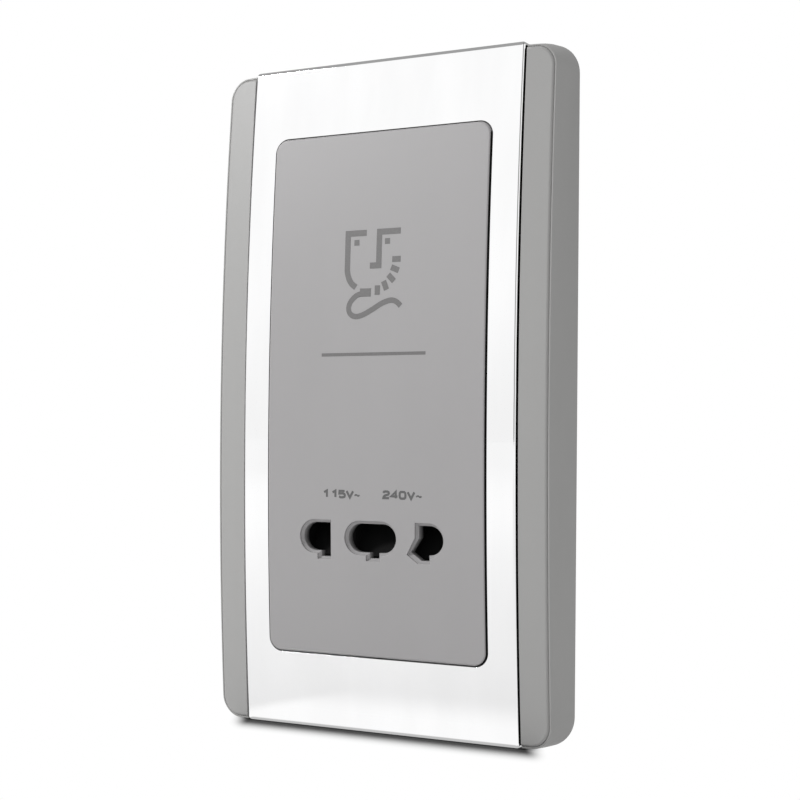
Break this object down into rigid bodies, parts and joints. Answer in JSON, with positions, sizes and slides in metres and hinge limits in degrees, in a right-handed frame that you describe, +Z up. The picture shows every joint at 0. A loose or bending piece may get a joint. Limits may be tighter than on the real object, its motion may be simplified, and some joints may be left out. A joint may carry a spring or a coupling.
{
  "type": "shaver socket",
  "caption": "Upright dual-voltage shaver supply socket: bowed bright trim between grey wings, keyed pin openings, sprung shutter, isolating transformer in a rear housing.",
  "frame": {"origin": "centre of the plate in the wall plane, where its rear rim meets the wall", "axes": "+Z up along the plate, +Y into the wall, +X to the right as seen from the room"},
  "size_m": [0.086, 0.0448, 0.146],
  "materials": {
    "grey_body": "satin moulded",
    "grey_panel": "satin moulded, printed",
    "bright_plating": "polished",
    "black_slide": "moulded",
    "spring_steel": "drawn wire",
    "cream_insulator": "moulded",
    "contact_bronze": "rolled strip",
    "switch_case": "moulded",
    "red_plunger": "moulded",
    "dark_housing": "fine grained",
    "lamination": "stacked sheets, varnished",
    "bobbin_nylon": "moulded",
    "copper_winding": "enamelled wire",
    "cutout_case": "moulded",
    "block_insulator": "moulded",
    "clamp_brass": "machined",
    "screw_steel": "zinc plated",
    "sleeve_brown": "insulating sleeve",
    "sleeve_amber": "insulating sleeve",
    "sleeve_blue": "insulating sleeve",
    "sleeve_green": "insulating sleeve"
  },
  "bodies": {
    "socket": {"surround": "grey_body", "trim_frame": "bright_plating", "socket_panel": "grey_panel", "shutter_spring_left": "spring_steel", "shutter_spring_right": "spring_steel", "contact_carrier": "cream_insulator", "contact_115": "contact_bronze", "contact_common": "contact_bronze", "contact_240": "contact_bronze", "switch_body": "switch_case", "rear_housing": "dark_housing", "e_core": "lamination", "i_core": "lamination", "bobbin": "bobbin_nylon", "primary_winding": "copper_winding", "secondary_winding": "copper_winding", "thermal_cutout": "cutout_case", "terminal_block": "block_insulator", "live_clamp": "clamp_brass", "neutral_clamp": "clamp_brass", "earth_clamp": "clamp_brass", "live_screw": "screw_steel", "neutral_screw": "screw_steel", "earth_screw": "screw_steel", "fixing_screw_upper": "screw_steel", "fixing_screw_lower": "screw_steel", "housing_screw_1": "screw_steel", "housing_screw_2": "screw_steel", "housing_screw_3": "screw_steel", "housing_screw_4": "screw_steel", "core_screw_1": "screw_steel", "core_screw_2": "screw_steel", "core_screw_3": "screw_steel", "core_screw_4": "screw_steel", "lead_115": "sleeve_amber", "lead_common": "sleeve_amber", "lead_240": "sleeve_amber", "lead_live": "sleeve_brown", "lead_switched": "sleeve_brown", "lead_neutral": "sleeve_blue", "lead_earth": "sleeve_green"},
    "shutter": {"shutter": "black_slide"},
    "plunger": {"switch_plunger": "red_plunger"}
  },
  "joints": [
    {"name": "shutter_slide", "type": "slide", "parent": "socket", "child": "shutter", "axis": [0, 0, -1], "range_m": [0, 0.009], "stiffness_N_per_m": 150, "springref_m": -0.004, "deforming": ["shutter_spring_left", "shutter_spring_right"]},
    {"name": "plunger_slide", "type": "slide", "parent": "socket", "child": "plunger", "axis": [0, 1, 0], "range_m": [0, 0.001]}
  ],
  "couplings": [
    {"joint": "plunger_slide", "follows": "shutter_slide", "ratio": 0.1111}
  ]
}
